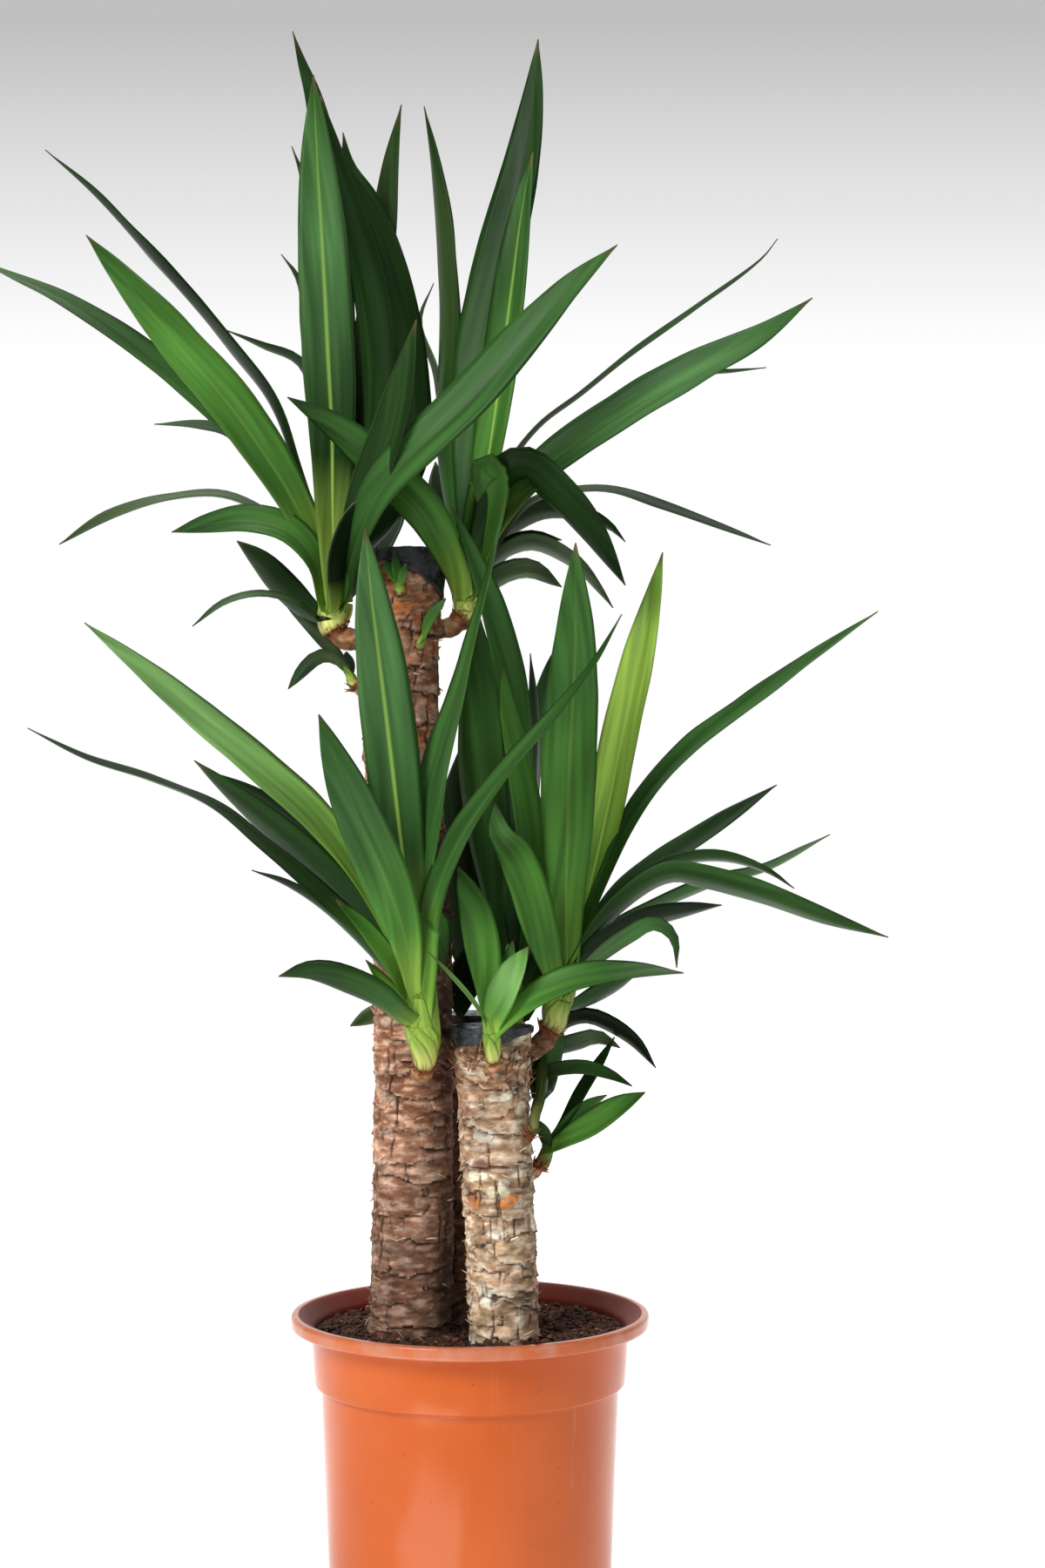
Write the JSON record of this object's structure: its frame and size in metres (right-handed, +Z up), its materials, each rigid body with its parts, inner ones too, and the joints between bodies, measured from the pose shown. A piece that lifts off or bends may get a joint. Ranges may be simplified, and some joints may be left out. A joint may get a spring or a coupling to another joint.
{
  "type": "potted yucca",
  "caption": "Potted yucca: bare woody canes with black sealed tops, rosettes of long pointed strap leaves, dark potting soil and a round orange nursery pot.",
  "frame": {"origin": "middle of the pot's flat base, on its underside", "axes": "+Z up the canes, -Y towards the plant's front as pictured, +X to its right in that view"},
  "size_m": [0.597, 0.3303, 1.083],
  "materials": {
    "pot": "satin orange",
    "soil": "crumbly peat",
    "bark_tall": "rough reddish bark",
    "bark_short": "rough pale bark",
    "bark_back": "rough dark bark",
    "wax": "black sealing wax",
    "leaf": "waxy green leaf"
  },
  "bodies": {
    "root": {"pot": "pot", "soil": "soil", "cane_tall": "bark_tall", "cane_short": "bark_short", "cane_back": "bark_back", "wax_tall": "wax", "wax_short": "wax", "wax_back": "wax", "head_upper_left": "leaf", "head_upper_right": "leaf", "twig_left": "leaf", "head_lower_left": "leaf", "head_lower_right": "leaf", "shoot_front": "leaf", "head_back": "leaf", "shoot_side_low": "leaf", "shoot_side_high": "leaf", "shoot_behind": "leaf", "sprout_top": "leaf", "sprout_side": "leaf"}
  },
  "joints": []
}
